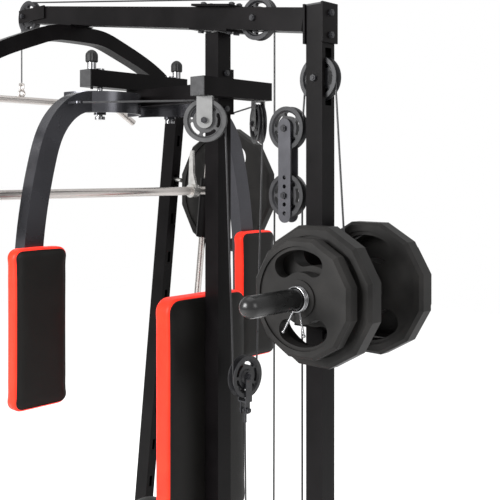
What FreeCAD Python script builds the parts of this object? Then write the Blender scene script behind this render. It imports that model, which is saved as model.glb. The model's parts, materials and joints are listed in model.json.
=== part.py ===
"""Home gym smith machine: slanted guide rods, a plate-loaded cable tower and pec-fly arms."""
import FreeCAD, Part
import math
import os

V = FreeCAD.Vector
X_AXIS, Y_AXIS, Z_AXIS = V(1, 0, 0), V(0, 1, 0), V(0, 0, 1)
SIDES = (-1, 1)

# ---------------------------------------------------------------- driving dimensions (mm)
# +Z up, front of the machine towards -Y, origin on the floor under the middle of its box.
POST_Y = 235.4            # back post's centre
TUBE = 50.0               # square tube of the posts
WALL = 3.0
RAIL_H = 60.0             # height of the floor rails
FOOT_H = 8.0              # rubber feet under the rails
WEIGHT_POST_Y = POST_Y + 355.0
BASE_FRONT_Y = POST_Y - 1060.0
CROSS_Y = POST_Y - 255.0  # floor crossmember's centre

LEAN_TAN = 0.12           # uprights and rods lean back by this much per unit of height
LEAN_DEG = math.degrees(math.atan(LEAN_TAN))
UPRIGHT_X = 450.0
UPRIGHT_W, UPRIGHT_D = 40.0, 60.0
UPRIGHT_TOP = 1790.0
UPRIGHT_FLOOR_Y = POST_Y - 873.0   # centre line of the upright carried down to the floor
SLOT_FIRST_Z, SLOT_PITCH, SLOT_ROWS = 365.0, 145.0, 10
PEG_Z = 1548.0            # pin on each upright beside the racked hook
ROD_X = 550.0
ROD_R = 12.5
ROD_FLOOR_Y = POST_Y - 776.0       # centre line of the rod carried down to the floor
ROD_TOP = 1790.0

BOOM_RISE = 0.139         # boom climbs to the front by this much per unit of length
BOOM_H = 60.0
BOOM_POST_Z = 1985.0      # boom's centre line over the back post
BOOM_FRONT_Y = POST_Y - 880.0
BOOM_REAR_Y = WEIGHT_POST_Y - 33.0
BOOM_CABLE_GAP = 17.0     # cable runs this far above the boom
WEIGHT_POST_TOP = 1973.0
ARCH_Y = POST_Y - 660.0

CAP_L = 40.0              # visible length of a sleeve's rounded end

PULLEY_R, PITCH_R, PULLEY_T = 56.0, 46.0, 22.0
BASE_PULLEY_R = 50.0      # pulleys close above the floor frame
BIG_PULLEY_R, BIG_PITCH_R = 57.0, 53.0
AXLE_R = 5.0
RUN_GAP = 0.05            # radial clearance of a turning or sliding fit
CABLE_R = 2.5
CHEEK_GAP = 1.0           # side clearance between a pulley and its cheeks

TOWER_PULLEY_Z = 1792.0
BOOM_PULLEY_Y, BOOM_PULLEY_Z = POST_Y + 153.0, 1966.0
BLOCK_Y, BLOCK_UPPER_Z, BLOCK_LOWER_Z = POST_Y + 252.0, 1672.0, 1500.0
FLOAT_Y, FLOAT_Z = POST_Y + 102.0, 1010.0
FRONT_PULLEY_Y = POST_Y - 930.0

CARRIAGE_Z = 1272.0       # axis of the weight sleeves
SLEEVE_Y = POST_Y + 430.0
WEIGHT_CABLE_Y = POST_Y + 432.0
SLEEVE_R, SLEEVE_TIP_X = 25.0, 367.0
LARGE_PLATE_R, LARGE_PLATE_X, LARGE_PLATE_T = 168.0, 82.0, 50.0
SMALL_PLATE_R, SMALL_PLATE_X, SMALL_PLATE_T = 142.0, 138.0, 40.0
SMALL_GRIP = {1: 95, -1: 8}   # a plate's first hand hole, in degrees up from its rear side
LARGE_GRIP = {1: 75, -1: 98}
BAR_GRIP = 90

CROSS_B_Z, CROSS_B_HALF = 1786.0, 133.0
SWIVEL_X, SWIVEL_Z = 105.0, 1696.0
FORK_HALF_W = 21.0
SWIVEL_TURN = 34.3        # the swivel pulleys turn out towards the pec arms
EYE_X, EYE_Y = 302.0, POST_Y - 233.0   # eye on each pec arm for its cable
EYE_REACH = 12.5          # cable's end stands this far from the eye's middle
PEC_Y, PEC_Z, PEC_HALF = POST_Y - 350.0, 1833.0, 190.0
PIVOT_X = 139.0
KNOB_R = 16.5             # knobs of the pull pins
CAM_R, CAM_LOW, CAM_H = 120.0, 1728.0, 60.0
ARM_FRONT_Y, ARM_REAR_Y = POST_Y - 315.0, POST_Y - 270.0
ARM_HALF_W = 29.0
ARM_LINE = [(215, 1757), (285, 1742), (345, 1680), (378, 1590), (402, 1480), (418, 1366), (425, 1200),
            (425, 1020)]      # middle of the arm's tube, as X and Z
PEC_PAD_X, PEC_PAD_HALF_W, PEC_PAD_T = 425.0, 83.0, 49.7
PEC_PAD_LOW, PEC_PAD_TOP = 945.0, 1366.0

BAR_Z = 1492.0            # smith bar's axis at rest
BAR_R = 15.0
BAR_SLEEVE_R, BAR_TIP_X = 25.0, 925.0
BAR_PLATE_R, BAR_PLATE_X, BAR_PLATE_T = 235.0, 592.0, 42.0
HOUSING_R, HOUSING_DROP, HOUSING_RISE = 24.0, 175.0, 45.0
BAR_BEHIND_ROD = 42.5     # bar's axis stands this far behind the rod's
COLLAR_R = 38.0
HOOK_X, HOOK_REACH = 440.0, 146.0
ROLLER_R = 10.0

BACK_HALF_W, BACK_LOW, BACK_TOP, BACK_T = 155.0, 575.0, 1217.0, 66.0
BACK_PLATE_T = 5.0        # plates between the back post and the backrest
SEAT_HALF_W, SEAT_LENGTH, SEAT_T = 160.0, 410.0, 61.7
SEAT_BEAM_Z = 392.0       # underside of the beam that carries the seat
PAD_CORNER_R, PEC_PAD_CORNER_R = 28.0, 18.0
PAD_GAP = 0.3             # clearance between a pad and the steel that carries it

LAT_BAR_R, LAT_GRIP_HALF, LAT_END_X, LAT_DROOP = 12.5, 420.0, 520.0, 60.0
LAT_HANG_Z = 1880.0       # end of the cable that carries the lat bar
SNAP_DROP = 7.0           # the snap hook turns on a barrel this far below it

os.makedirs("parts", exist_ok=True)
nodes = {}


# ---------------------------------------------------------------- small makers
def block(x0, x1, y0, y1, z0, z1):
    return Part.makeBox(x1 - x0, y1 - y0, z1 - z0, V(x0, y0, z0))


def rod(radius, start, end):
    run = V(*end) - V(*start)
    return Part.makeCylinder(radius, run.Length, V(*start), run)


def fuse(shapes):
    whole = shapes[0].multiFuse(shapes[1:]) if len(shapes) > 1 else shapes[0]
    return whole.removeSplitter()


def group(shapes):
    solids = [solid for shape in shapes for solid in shape.Solids]
    return Part.makeCompound(solids)


def mirror_x(shape):
    return shape.mirror(V(0, 0, 0), X_AXIS)


def both_sides(shape):
    return group([shape, mirror_x(shape)])


def square_tube(x0, x1, y0, y1, z0, z1, along):
    """A hollow tube, open at the two ends that face along 'x', 'y' or 'z'."""
    inset = {axis: (0.0 if axis == along else WALL) for axis in "xyz"}
    outer = block(x0, x1, y0, y1, z0, z1)
    inner = block(x0 + inset["x"], x1 - inset["x"], y0 + inset["y"], y1 - inset["y"],
                  z0 + inset["z"], z1 - inset["z"])
    return outer.cut(inner)


def lean(shape, floor_y):
    """Tips an upright shape back about the line where it meets the floor."""
    leaned = shape.copy()
    leaned.rotate(V(0, floor_y, 0), X_AXIS, -LEAN_DEG)
    return leaned


def lean_y(floor_y, z):
    return floor_y + z * LEAN_TAN


def boom_z(y):
    return BOOM_POST_Z - BOOM_RISE * (y - POST_Y)


def tilt_boom(shape):
    """Turns a level shape about the boom's centre over the back post to the boom's slope."""
    tilted = shape.copy()
    tilted.rotate(V(0, POST_Y, BOOM_POST_Z), X_AXIS, -math.degrees(math.atan(BOOM_RISE)))
    return tilted


def hexagon(radius, height, start, axis):
    turns = [math.radians(60 * corner) for corner in range(7)]
    outline = Part.makePolygon([V(radius * math.cos(t), radius * math.sin(t), 0) for t in turns])
    prism = Part.Face(outline).extrude(V(0, 0, height))
    prism.Placement = FreeCAD.Placement(start, FreeCAD.Rotation(Z_AXIS, axis))
    return prism


def hex_bolt(centre, axis, radius, grip):
    """A bolt with a hexagon head at centre - axis*grip/2 and a nut at the other side."""
    axis = V(*axis)
    middle = V(*centre)
    shank = Part.makeCylinder(radius, grip + 10, middle - axis * (grip / 2 + 1), axis)
    head = hexagon(radius * 1.75, 6, middle - axis * (grip / 2 + 6), axis)
    nut = hexagon(radius * 1.75, 7, middle + axis * (grip / 2), axis)
    return fuse([shank, head, nut])


def pulley(radius, pitch_r):
    """A grooved pulley on the X axis at the origin, with five windows in its web."""
    half = PULLEY_T / 2
    profile = [(-half, AXLE_R + RUN_GAP), (-half, 17), (-6, 20), (-6, radius - 14),
               (-half, radius - 10), (-half, radius), (-half + 2, radius),
               (-CABLE_R - 0.8, pitch_r - CABLE_R - 0.5), (CABLE_R + 0.8, pitch_r - CABLE_R - 0.5),
               (half - 2, radius), (half, radius), (half, radius - 10), (6, radius - 14),
               (6, 20), (half, 17), (half, AXLE_R + RUN_GAP)]
    points = [V(x, r, 0) for x, r in profile]
    face = Part.Face(Part.makePolygon(points + points[:1]))
    wheel = face.revolve(V(0, 0, 0), X_AXIS, 360)
    window_r = radius * 0.085
    web_middle = radius - 15 - window_r
    spoke_half = 3.5
    half_turn = math.radians(36) - (window_r + spoke_half) / web_middle
    for spoke in range(5):
        angle = math.radians(72 * spoke + 18)
        arc = [V(-10, web_middle * math.sin(angle + turn), web_middle * math.cos(angle + turn))
               for turn in (-half_turn, half_turn)]
        ends = [Part.makeCylinder(window_r, 20, point, X_AXIS) for point in arc]
        ring = Part.makeCylinder(web_middle + window_r, 20, V(-10, 0, 0), X_AXIS)
        ring = ring.cut(Part.makeCylinder(web_middle - window_r, 20, V(-10, 0, 0), X_AXIS))
        edge_a, edge_b = [point * 3 for point in arc]
        wedge_face = Part.Face(Part.makePolygon([V(-10, 0, 0), V(-10, edge_a.y, edge_a.z),
                                                 V(-10, edge_b.y, edge_b.z), V(-10, 0, 0)]))
        wedge = wedge_face.extrude(V(20, 0, 0))
        wheel = wheel.cut(fuse(ends + [ring.common(wedge)]))
    return wheel


def placed(shape, x, y, z):
    moved = shape.copy()
    moved.translate(V(x, y, z))
    return moved


def axle(x_half, y, z):
    return hex_bolt((0, y, z), (1, 0, 0), AXLE_R, 2 * x_half)


def cable(points):
    """A thin cable through straight runs given as a list of points."""
    return fuse([rod(CABLE_R, a, b) for a, b in zip(points, points[1:])])


def cable_arc(y, z, radius, start_deg, end_deg, x=0.0):
    """A stretch of cable bent round the X axis; 0 degrees is rearward, 90 is up."""
    def at(deg):
        angle = math.radians(deg)
        return V(x, y + radius * math.cos(angle), z + radius * math.sin(angle))
    path = Part.Wire([Part.Arc(at(start_deg), at((start_deg + end_deg) / 2), at(end_deg)).toShape()])
    angle = math.radians(start_deg)
    tangent = V(0, -math.sin(angle), math.cos(angle))
    ring = Part.Wire([Part.makeCircle(CABLE_R, at(start_deg), tangent)])
    return path.makePipeShell([ring], True, False)


# ---------------------------------------------------------------- floor frame
def floor_frame():
    low, high = FOOT_H, FOOT_H + RAIL_H
    cross_front, cross_rear = CROSS_Y - TUBE / 2, CROSS_Y + TUBE / 2
    side = square_tube(UPRIGHT_X - 25, UPRIGHT_X + 25, BASE_FRONT_Y, cross_rear, low, high, "y")
    nodes["side_floor_rails"] = both_sides(side)
    crossmember = square_tube(-UPRIGHT_X + 25, UPRIGHT_X - 25, cross_front, cross_rear, low, high, "x")
    centre_rail = square_tube(-TUBE / 2, TUBE / 2, cross_rear, WEIGHT_POST_Y - TUBE / 2, low, high, "y")
    rear_foot = square_tube(-300, 300, WEIGHT_POST_Y - TUBE / 2, WEIGHT_POST_Y + TUBE / 2, low, high, "x")
    nodes["centre_floor_frame"] = group([crossmember, centre_rail, rear_foot])
    foot_spots = [(UPRIGHT_X, BASE_FRONT_Y + 40), (UPRIGHT_X, cross_rear - 40), (260, WEIGHT_POST_Y)]
    feet = [Part.makeCylinder(22, FOOT_H, V(side_x * x, y, 0))
            for x, y in foot_spots for side_x in SIDES]
    return feet


# ---------------------------------------------------------------- slanted smith frame
def slanted_frame(feet):
    base_top = FOOT_H + RAIL_H
    half_w, half_d = UPRIGHT_W / 2, UPRIGHT_D / 2
    post = block(UPRIGHT_X - half_w, UPRIGHT_X + half_w, UPRIGHT_FLOOR_Y - half_d,
                 UPRIGHT_FLOOR_Y + half_d, -40, UPRIGHT_TOP + 60)
    bore = block(UPRIGHT_X - half_w + WALL, UPRIGHT_X + half_w - WALL,
                 UPRIGHT_FLOOR_Y - half_d + WALL, UPRIGHT_FLOOR_Y + half_d - WALL,
                 -50, UPRIGHT_TOP + 70)
    post = post.cut(bore)
    slots = [block(UPRIGHT_X - 6, UPRIGHT_X + 6, UPRIGHT_FLOOR_Y, UPRIGHT_FLOOR_Y + half_d + 5, z, z + 40)
             for z in (SLOT_FIRST_Z + row * SLOT_PITCH for row in range(SLOT_ROWS))]
    rear_face = UPRIGHT_FLOOR_Y + half_d
    peg = rod(8, (UPRIGHT_X, rear_face, PEG_Z), (UPRIGHT_X, rear_face + 34, PEG_Z))
    post = lean(post.cut(group(slots)), UPRIGHT_FLOOR_Y)
    keep = block(0, 2 * UPRIGHT_X, -2000, 2000, base_top, UPRIGHT_TOP)
    nodes["slanted_uprights"] = both_sides(post.common(keep))
    nodes["lock_pegs"] = both_sides(lean(peg, UPRIGHT_FLOOR_Y))

    guide = lean(rod(ROD_R, (ROD_X, ROD_FLOOR_Y, 0), (ROD_X, ROD_FLOOR_Y, ROD_TOP + 60)), ROD_FLOOR_Y)
    keep_rod = block(0, 2 * ROD_X, -2000, 2000, base_top + 6, ROD_TOP + 40)
    nodes["guide_rods"] = both_sides(guide.common(keep_rod))

    foot_y = lean_y(ROD_FLOOR_Y, base_top)
    foot = block(UPRIGHT_X - 25, ROD_X + 30, foot_y - 30, foot_y + 30, base_top, base_top + 6)
    foot_cup = Part.makeCylinder(22, 40, V(ROD_X, foot_y, base_top + 6))
    foot_cup = foot_cup.cut(guide)
    top_y = lean_y(ROD_FLOOR_Y, ROD_TOP)
    up_y = lean_y(UPRIGHT_FLOOR_Y, UPRIGHT_TOP)
    top = fuse([block(UPRIGHT_X - 25, UPRIGHT_X + 25, up_y - 35, top_y + 30, UPRIGHT_TOP, UPRIGHT_TOP + 8),
                block(UPRIGHT_X + 20, ROD_X + 30, top_y - 30, top_y + 30, UPRIGHT_TOP, UPRIGHT_TOP + 8)])
    top_cup = Part.makeCylinder(20, 34, V(ROD_X, top_y, UPRIGHT_TOP + 8))
    top_cup = fuse([top, top_cup]).cut(guide)
    nodes["rod_brackets"] = both_sides(group([fuse([foot, foot_cup]), top_cup]))

    ring = Part.makeCylinder(24, 36, V(ROD_X, ROD_FLOOR_Y, 128)).cut(
        Part.makeCylinder(ROD_R, 60, V(ROD_X, ROD_FLOOR_Y, 120)))
    rest_bumper = Part.makeCylinder(14, 25.7, V(0, WEIGHT_POST_Y + TUBE / 2 + 20.3, CARRIAGE_Z - 108))
    nodes["rubber_feet_and_bumpers"] = group(feet + [both_sides(lean(ring, ROD_FLOOR_Y)), rest_bumper])


def arch():
    """A bent tube from the top of one slanted upright over to the other, under the boom."""
    crown_z = boom_z(ARCH_Y) - BOOM_H / 2 - 8
    up_y = lean_y(UPRIGHT_FLOOR_Y, UPRIGHT_TOP)
    foot_z = UPRIGHT_TOP + 8
    half = TUBE / 2
    crown_axis_z = crown_z - half
    points = [V(-UPRIGHT_X, up_y, foot_z), V(-UPRIGHT_X + 30, up_y, foot_z + 45),
              V(-170, up_y, crown_axis_z - 28), V(-90, up_y, crown_axis_z - 3), V(-45, up_y, crown_axis_z),
              V(45, up_y, crown_axis_z), V(90, up_y, crown_axis_z - 3), V(170, up_y, crown_axis_z - 28),
              V(UPRIGHT_X - 30, up_y, foot_z + 45), V(UPRIGHT_X, up_y, foot_z)]
    outer = arch_band(points, half, up_y - half, up_y + half)
    inner = arch_band(points, half - WALL, up_y - half + WALL, up_y + half - WALL)
    feet_cut = block(-600, 600, up_y - 60, up_y + 60, foot_z - 100, foot_z)
    nodes["arch_tube"] = outer.cut(inner).cut(feet_cut)


def arch_band(points, half, y0, y1):
    """The band of a given half height along a path of points in one XZ plane."""
    upper, lower = [], []
    for index, point in enumerate(points):
        before = points[max(index - 1, 0)]
        after = points[min(index + 1, len(points) - 1)]
        run = (after - before).normalize()
        normal = V(-run.z, 0, run.x)
        upper.append(V(point.x, y0, point.z) + normal * half)
        lower.append(V(point.x, y0, point.z) - normal * half)
    edges = [Part.BSplineCurve(), Part.BSplineCurve()]
    edges[0].interpolate(upper)
    edges[1].interpolate(lower)
    loop = Part.Wire([edges[0].toShape(), Part.makeLine(upper[-1], lower[-1]),
                      edges[1].toShape(), Part.makeLine(lower[0], upper[0])])
    return Part.Face(loop).extrude(V(0, y1 - y0, 0))


# ---------------------------------------------------------------- centre spine
def spine():
    half = TUBE / 2
    base_top = FOOT_H + RAIL_H
    clamp_t = 6.0
    post_top = BOOM_POST_Z - BOOM_H / 2 - clamp_t - 5
    post = square_tube(-half, half, POST_Y - half, POST_Y + half, base_top, post_top, "z")
    cable_slot = block(-9, 9, POST_Y - half - 1, POST_Y + half + 1, base_top - 1, base_top + 30)

    level_beam = square_tube(-half, half, BOOM_FRONT_Y, BOOM_REAR_Y, BOOM_POST_Z - BOOM_H / 2,
                             BOOM_POST_Z + BOOM_H / 2, "y")
    pulley_reach = BIG_PULLEY_R + 8
    pulley_room = block(-14, 14, BOOM_PULLEY_Y - pulley_reach, BOOM_PULLEY_Y + pulley_reach, 1800, 2200)
    ahead_of_tower = block(-100, 100, BOOM_FRONT_Y - 100, WEIGHT_POST_Y - half - 6, 0, 3000)
    beam = tilt_boom(level_beam).cut(pulley_room).common(ahead_of_tower)

    clamps = [block(-45, 45, POST_Y - 66, POST_Y + 80, low, low + clamp_t)
              for low in (BOOM_POST_Z - BOOM_H / 2 - clamp_t, BOOM_POST_Z + BOOM_H / 2)]
    clamp_bolts = [hex_bolt((x, POST_Y + y, BOOM_POST_Z), (0, 0, 1), AXLE_R, BOOM_H + 2 * clamp_t)
                   for x in (-15, 15) for y in (-47, 62)]
    front, rear = WEIGHT_POST_Y - half, WEIGHT_POST_Y + half
    end_bolts = [hex_bolt((0, WEIGHT_POST_Y, z), (0, 1, 0), AXLE_R, TUBE + 12) for z in (1952, 1897)]
    plate_bolts = [hex_bolt((0, POST_Y, z), (0, 1, 0), AXLE_R, TUBE + 12)
                   for z in (CROSS_B_Z - 52, CROSS_B_Z + 46)]
    bolts = group([tilt_boom(group(clamp_bolts))] + end_bolts + plate_bolts)

    top_y = lean_y(UPRIGHT_FLOOR_Y, UPRIGHT_TOP)
    seat_low = boom_z(ARCH_Y) - BOOM_H / 2 - 8
    under_boom = tilt_boom(block(-60, 60, BOOM_FRONT_Y, BOOM_REAR_Y, BOOM_POST_Z - BOOM_H / 2, 2600))
    saddle = block(-45, 45, top_y - 35, top_y + 35, seat_low, seat_low + 40).cut(under_boom)
    saddle = saddle.cut(nodes["arch_tube"])

    post = post.cut(cable_slot).cut(bolts)
    clamp_plates = tilt_boom(group(clamps)).cut(pulley_room).cut(post)
    end_plates = [block(-31, 31, y, y + 6, 1878, WEIGHT_POST_TOP + 4) for y in (front - 6, rear)]
    cross_plate = block(-31, 31, POST_Y + half, POST_Y + half + 6, CROSS_B_Z - 66, CROSS_B_Z + 58)
    rest = block(-20, 20, rear, rear + 40, CARRIAGE_Z - 122, CARRIAGE_Z - 108)
    spacers = [block(-22, 22, POST_Y - half - BACK_PLATE_T, POST_Y - half, z, z + 50) for z in (700, 1050)]
    plates = [clamp_plates, cross_plate, rest, saddle] + end_plates + spacers
    nodes["joint_plates"] = group(plates).cut(bolts)
    nodes["back_post"] = post
    nodes["top_boom"] = beam.cut(bolts)
    nodes["frame_bolts"] = bolts

    tower = square_tube(-half, half, front, rear, base_top, WEIGHT_POST_TOP, "z")
    tower_slot = block(-12.5, 12.5, front - 1, rear + 1, TOWER_PULLEY_Z - 68, TOWER_PULLEY_Z + 74)
    nodes["weight_post"] = tower.cut(tower_slot).cut(bolts)


def front_pulley_z():
    return boom_z(FRONT_PULLEY_Y) + BOOM_H / 2 + BOOM_CABLE_GAP - BIG_PITCH_R - 1.0


# ---------------------------------------------------------------- pulleys held by the frame
def frame_pulleys():
    small, big = pulley(PULLEY_R, PITCH_R), pulley(BIG_PULLEY_R, BIG_PITCH_R)
    low = pulley(BASE_PULLEY_R, PITCH_R)
    nodes["tower_pulley"] = placed(small, 0, WEIGHT_POST_Y, TOWER_PULLEY_Z)
    nodes["boom_pulley"] = placed(big, 0, BOOM_PULLEY_Y, BOOM_PULLEY_Z)
    nodes["front_pulley"] = placed(big, 0, FRONT_PULLEY_Y, front_pulley_z())
    spots = base_pulley_spots()
    for name, (y, z) in spots.items():
        nodes[name] = placed(low, 0, y, z)
    axles = [axle(TUBE / 2, WEIGHT_POST_Y, TOWER_PULLEY_Z), axle(TUBE / 2, BOOM_PULLEY_Y, BOOM_PULLEY_Z),
             axle(30, FRONT_PULLEY_Y, front_pulley_z())]
    axles += [axle(18, y, z) for y, z in spots.values()]
    nodes["pulley_axles"] = group(axles)
    for name in ("weight_post", "top_boom"):
        nodes[name] = nodes[name].cut(nodes["pulley_axles"])

    top = FOOT_H + RAIL_H
    front_low = front_pulley_z() - 22
    cheek = group([block(13, 18, POST_Y + 130, POST_Y + 280, top, 230),
                   block(13, 18, CROSS_Y - 110, CROSS_Y - TUBE / 2, FOOT_H + 5, 140),
                   block(25, 30, FRONT_PULLEY_Y - 24, BOOM_FRONT_Y + 80, front_low, front_low + 44)])
    nodes["pulley_cheeks"] = both_sides(cheek).cut(nodes["pulley_axles"])


def base_pulley_spots():
    return {"base_pulley_mid": (POST_Y + 156.0, 195.0),
            "base_pulley_rear": (POST_Y + 252.0, 123.0),
            "low_row_pulley": (CROSS_Y - 75.0, 123.0)}


# ---------------------------------------------------------------- floating double-pulley block
def floating_block():
    small = pulley(PULLEY_R, PITCH_R)
    nodes["block_pulley_upper"] = placed(small, 0, BLOCK_Y, BLOCK_UPPER_Z)
    nodes["block_pulley_lower"] = placed(small, 0, BLOCK_Y, BLOCK_LOWER_Z)
    bolts = [axle(PULLEY_T / 2 + CHEEK_GAP + 4, BLOCK_Y, z) for z in (BLOCK_UPPER_Z, BLOCK_LOWER_Z)]
    inner = PULLEY_T / 2 + CHEEK_GAP
    link = fuse([block(inner, inner + 4, BLOCK_Y - 20, BLOCK_Y + 20, BLOCK_LOWER_Z - 50, BLOCK_UPPER_Z + 5),
                 Part.makeCylinder(20, 4, V(inner, BLOCK_Y, BLOCK_UPPER_Z + 5), X_AXIS),
                 Part.makeCylinder(20, 4, V(inner, BLOCK_Y, BLOCK_LOWER_Z - 50), X_AXIS)])
    holes = [Part.makeCylinder(5.5, 20, V(0, BLOCK_Y, BLOCK_LOWER_Z + step * 23), X_AXIS)
             for step in (-2, -1, 1, 2)]
    link = link.cut(group(holes))
    plates = both_sides(link).cut(group(bolts))
    nodes["block_link_plates"] = group([plates] + bolts)


# ---------------------------------------------------------------- weight carriage
def weight_carriage():
    half = TUBE / 2
    inner = half + 3.0
    low, high = CARRIAGE_Z - 95, CARRIAGE_Z + 105
    side = block(inner, inner + 6, WEIGHT_POST_Y - half - 30, SLEEVE_Y + 42, low, high)
    sleeve = rod(SLEEVE_R, (inner + 6, SLEEVE_Y, CARRIAGE_Z), (SLEEVE_TIP_X - CAP_L, SLEEVE_Y, CARRIAGE_Z))
    collar = rod(COLLAR_R, (inner + 38, SLEEVE_Y, CARRIAGE_Z), (LARGE_PLATE_X - 0.5, SLEEVE_Y, CARRIAGE_Z))
    cap = end_cap(SLEEVE_R, SLEEVE_TIP_X, SLEEVE_Y, CARRIAGE_Z)
    nodes["weight_sleeves"] = both_sides(group([fuse([sleeve, collar]), cap]))

    reach = half + 0.3 + ROLLER_R
    spots = [(WEIGHT_POST_Y + side_y * reach, z)
             for side_y in SIDES for z in (CARRIAGE_Z - 70, CARRIAGE_Z + 85)]
    pins = group([axle(inner + 6, y, z) for y, z in spots])
    wheels = group([rod(ROLLER_R, (-half, y, z), (half, y, z)) for y, z in spots])
    nodes["carriage_rollers"] = wheels.cut(pins)
    tie = block(-inner, inner, SLEEVE_Y - 30, SLEEVE_Y + 30, CARRIAGE_Z - 30, CARRIAGE_Z + 30)
    lug = block(-9, 9, WEIGHT_CABLE_Y - 12, WEIGHT_CABLE_Y + 12, CARRIAGE_Z + 30, CARRIAGE_Z + 62)
    plates = both_sides(side).cut(pins)
    nodes["carriage_plates"] = group([plates, fuse([tie, lug]), pins])
    large, other_large = [weight_plate(LARGE_PLATE_R, LARGE_PLATE_X, LARGE_PLATE_T, LARGE_GRIP[side])
                          for side in (1, -1)]
    nodes["large_weight_plates"] = group([large, mirror_x(other_large)])
    small, other_small = [weight_plate(SMALL_PLATE_R, SMALL_PLATE_X, SMALL_PLATE_T, SMALL_GRIP[side])
                          for side in (1, -1)]
    nodes["small_weight_plates"] = group([small, mirror_x(other_small)])
    nodes["spring_clips"] = both_sides(spring_clip())


def end_cap(radius, tip_x, y, z):
    """A rounded plastic plug closing the end of a sleeve."""
    stub = rod(radius, (tip_x - CAP_L, y, z), (tip_x - radius, y, z))
    return fuse([stub, Part.makeSphere(radius, V(tip_x - radius, y, z))])


def weight_plate(radius, start, thick, grip):
    """A twelve-sided plate with a stepped rim and two rounded grips, on the weight sleeve."""
    bore = SLEEVE_R + 0.5
    plate = twelve_sided(radius, start, thick, SLEEVE_Y, CARRIAGE_Z)
    rim_r = radius * 0.84
    for face_x in (start - 1, start + thick - 5):
        dish = Part.makeCylinder(rim_r, 6, V(face_x, SLEEVE_Y, CARRIAGE_Z), X_AXIS)
        hub = Part.makeCylinder(radius * 0.3, 8, V(face_x - 1, SLEEVE_Y, CARRIAGE_Z), X_AXIS)
        plate = plate.cut(dish.cut(hub))
    plate = plate.cut(grips(radius, start, thick, SLEEVE_Y, CARRIAGE_Z, grip))
    return plate.cut(Part.makeCylinder(bore, thick + 4, V(start - 2, SLEEVE_Y, CARRIAGE_Z), X_AXIS))


def twelve_sided(radius, start, thick, y, z):
    """A twelve-sided disc, thinner at its edge, along the X axis."""
    def ring(size, x):
        turns = [math.radians(30 * corner + 15) for corner in range(13)]
        return Part.makePolygon([V(x, y + size * math.cos(t), z + size * math.sin(t)) for t in turns])
    middle = start + thick / 2
    bevel = 8
    stations = [(radius - bevel, start), (radius, start + bevel), (radius, start + thick - bevel),
                (radius - bevel, start + thick)]
    return Part.makeLoft([ring(size, x) for size, x in stations], True, True)


def grips(radius, start, thick, y, z, first):
    """Kidney-shaped hand holes on opposite sides of the hub."""
    middle, width = radius * 0.6, radius * 0.18
    cutters = []
    for place in (first, first + 180):
        ends = [math.radians(place + turn) for turn in (-31, 31)]
        centres = [V(start - 2, y + middle * math.cos(a), z + middle * math.sin(a)) for a in ends]
        caps = [Part.makeCylinder(width, thick + 4, centre, X_AXIS) for centre in centres]
        ring = Part.makeCylinder(middle + width, thick + 4, V(start - 2, y, z), X_AXIS)
        ring = ring.cut(Part.makeCylinder(middle - width, thick + 4, V(start - 2, y, z), X_AXIS))
        corners = [V(start - 2, y, z)] + [V(start - 2, y, z) + (c - V(start - 2, y, z)) * 2 for c in centres]
        wedge = Part.Face(Part.makePolygon(corners + corners[:1])).extrude(V(thick + 4, 0, 0))
        cutters.append(fuse(caps + [ring.common(wedge)]))
    return group(cutters)


def spring_clip():
    """A wire spring collar with two handles, squeezed to slide on the sleeve."""
    wire = 2.5
    start = SMALL_PLATE_X + SMALL_PLATE_T + wire
    coil_r = SLEEVE_R + wire + 0.3
    coils = [Part.makeTorus(coil_r, wire, V(start + turn * 2 * wire * 1.02, SLEEVE_Y, CARRIAGE_Z), X_AXIS)
             for turn in range(3)]
    handles = []
    for turn, side in ((0, -1), (2, 1)):
        x = start + turn * 2 * wire * 1.02
        foot = (x, SLEEVE_Y + side * 12, CARRIAGE_Z - SLEEVE_R - 2)
        knee = (x + 12, SLEEVE_Y + side * 34, CARRIAGE_Z - SLEEVE_R - 52)
        handles.append(rod(wire, foot, knee))
        handles.append(Part.makeSphere(wire * 1.6, V(*knee)))
    return fuse(coils + handles)


# ---------------------------------------------------------------- swivel pulleys and pec float
def cross_b_y():
    return POST_Y + TUBE / 2 + 6 + TUBE / 2


def turned(shape, degrees):
    """Turns a shape about the vertical through the origin."""
    result = shape.copy()
    result.rotate(V(0, 0, 0), Z_AXIS, degrees)
    return result


def swivel_group():
    y, half = cross_b_y(), TUBE / 2
    under = CROSS_B_Z - half
    tube = square_tube(-CROSS_B_HALF, CROSS_B_HALF, y - half, y + half, under, CROSS_B_Z + half, "x")
    fork_half = PULLEY_T / 2 + CHEEK_GAP
    drop = under - SWIVEL_Z
    ear = fuse([block(fork_half, fork_half + 3, -FORK_HALF_W, FORK_HALF_W, 0, drop - 3),
                Part.makeCylinder(FORK_HALF_W, 3, V(fork_half, 0, 0), X_AXIS)])
    crown = block(-fork_half - 3, fork_half + 3, -FORK_HALF_W, FORK_HALF_W, drop - 4, drop - 0.5)
    stud_room = Part.makeCylinder(6 + RUN_GAP, 20, V(0, 0, drop - 10))
    fork = fuse([ear, mirror_x(ear), crown]).cut(stud_room)
    bolt = axle(fork_half + 3, 0, 0)
    fork = group([fork.cut(bolt), bolt])
    wheel = pulley(BIG_PULLEY_R, BIG_PITCH_R)
    studs = []
    for side, name in ((1, "left"), (-1, "right")):
        x = side * SWIVEL_X
        nodes["swivel_fork_" + name] = placed(turned(fork, side * SWIVEL_TURN), x, y, SWIVEL_Z)
        nodes["swivel_pulley_" + name] = placed(turned(wheel, side * SWIVEL_TURN), x, y, SWIVEL_Z)
        studs.append(fuse([rod(6, (x, y, under - 3.9), (x, y, under + WALL + 4)),
                           rod(10, (x, y, under + WALL), (x, y, under + WALL + 7))]))
    return studs, tube.cut(group(studs))


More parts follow.
